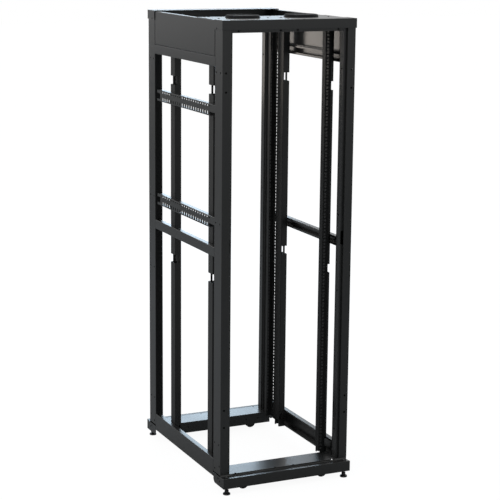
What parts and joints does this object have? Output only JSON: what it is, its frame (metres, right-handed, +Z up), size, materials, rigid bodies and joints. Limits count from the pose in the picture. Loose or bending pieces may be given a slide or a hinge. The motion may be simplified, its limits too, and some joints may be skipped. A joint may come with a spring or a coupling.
{
  "type": "four post open frame equipment rack",
  "caption": "Tall open equipment rack with folded steel posts, square-hole rack rails, side beams, slotted lacing brackets, base trays, casters and levelling feet",
  "frame": {"origin": "on the floor, midway between the feet", "axes": "+X to the right seen from the front, +Y to the rear, +Z up; the front faces -Y"},
  "size_m": [0.616, 0.91, 2.0235],
  "materials": {
    "frame_paint": "satin black powder coat",
    "rail_paint": "satin black powder coat",
    "cap_plastic": "moulded matt black",
    "zinc_steel": "black",
    "wheel_rubber": "solid black tread",
    "foot_steel": "black"
  },
  "bodies": {
    "frame": {"front_header": "frame_paint", "front_base": "frame_paint", "rear_header": "frame_paint", "rear_base": "frame_paint", "left_top_panel": "frame_paint", "left_port_cap": "cap_plastic", "left_upper_beam": "frame_paint", "left_middle_beam": "frame_paint", "left_bottom_beam": "frame_paint", "right_top_panel": "frame_paint", "right_port_cap": "cap_plastic", "right_upper_beam": "frame_paint", "right_middle_beam": "frame_paint", "right_bottom_beam": "frame_paint", "top_plate": "frame_paint", "front_left_post": "frame_paint", "front_left_upright": "rail_paint", "front_left_rail": "rail_paint", "front_left_caster_fork": "zinc_steel", "front_left_levelling_foot": "foot_steel", "front_right_post": "frame_paint", "front_right_upright": "rail_paint", "front_right_rail": "rail_paint", "front_right_caster_fork": "zinc_steel", "front_right_levelling_foot": "foot_steel", "rear_left_post": "frame_paint", "rear_left_upright": "rail_paint", "rear_left_rail": "rail_paint", "rear_left_caster_fork": "zinc_steel", "rear_left_levelling_foot": "foot_steel", "rear_right_post": "frame_paint", "rear_right_upright": "rail_paint", "rear_right_rail": "rail_paint", "rear_right_caster_fork": "zinc_steel", "rear_right_levelling_foot": "foot_steel", "lower_lacing_bracket": "frame_paint", "upper_lacing_bracket": "frame_paint"},
    "front_left_caster_wheel": {"front_left_caster_wheel": "wheel_rubber"},
    "front_right_caster_wheel": {"front_right_caster_wheel": "wheel_rubber"},
    "rear_left_caster_wheel": {"rear_left_caster_wheel": "wheel_rubber"},
    "rear_right_caster_wheel": {"rear_right_caster_wheel": "wheel_rubber"}
  },
  "joints": [
    {"name": "front_left_wheel_spin", "type": "hinge", "parent": "frame", "child": "front_left_caster_wheel", "pos_m": [-0.19, -0.398, 0.027], "axis": [0, 1, 0], "continuous": true},
    {"name": "front_right_wheel_spin", "type": "hinge", "parent": "frame", "child": "front_right_caster_wheel", "pos_m": [0.19, -0.398, 0.027], "axis": [0, 1, 0], "continuous": true},
    {"name": "rear_left_wheel_spin", "type": "hinge", "parent": "frame", "child": "rear_left_caster_wheel", "pos_m": [-0.19, 0.358, 0.027], "axis": [0, 1, 0], "continuous": true},
    {"name": "rear_right_wheel_spin", "type": "hinge", "parent": "frame", "child": "rear_right_caster_wheel", "pos_m": [0.19, 0.358, 0.027], "axis": [0, 1, 0], "continuous": true}
  ]
}
